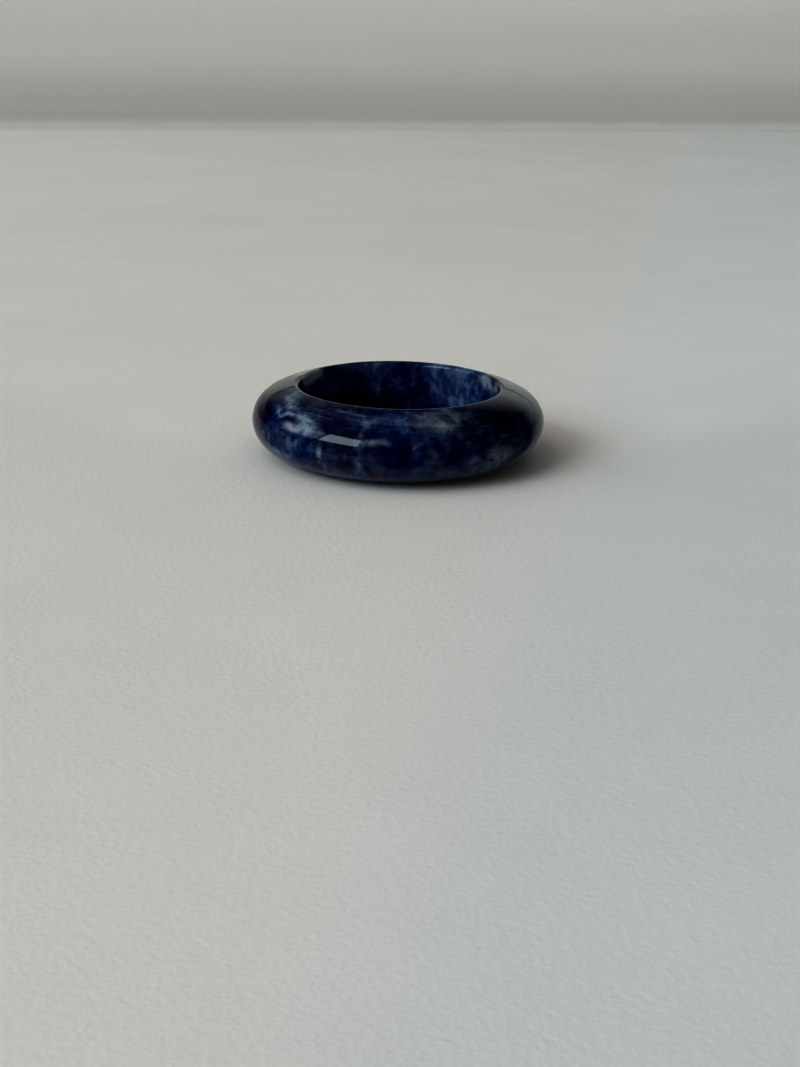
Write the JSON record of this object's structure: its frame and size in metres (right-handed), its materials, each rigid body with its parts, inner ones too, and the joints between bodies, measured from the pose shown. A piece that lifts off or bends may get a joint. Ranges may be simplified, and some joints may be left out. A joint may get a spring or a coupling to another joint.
{
  "type": "stackable ring",
  "caption": "Plain finger ring cut from one piece of mottled blue stone, with a round bore, a domed outside and rounded lips, worn alone or stacked with others.",
  "frame": {"origin": "On the finger axis, at the height of the surface that the ring lies on.", "axes": "+Z is the finger axis and points up as the ring lies on its side. The ring is round, so +X and +Y are any two directions square to it."},
  "size_m": [0.0254, 0.0254, 0.0063],
  "materials": {
    "stone": "high polish, opaque navy stone mottled with royal blue, slate grey and pale lilac veins"
  },
  "bodies": {
    "root": {"band": "stone"}
  },
  "joints": []
}
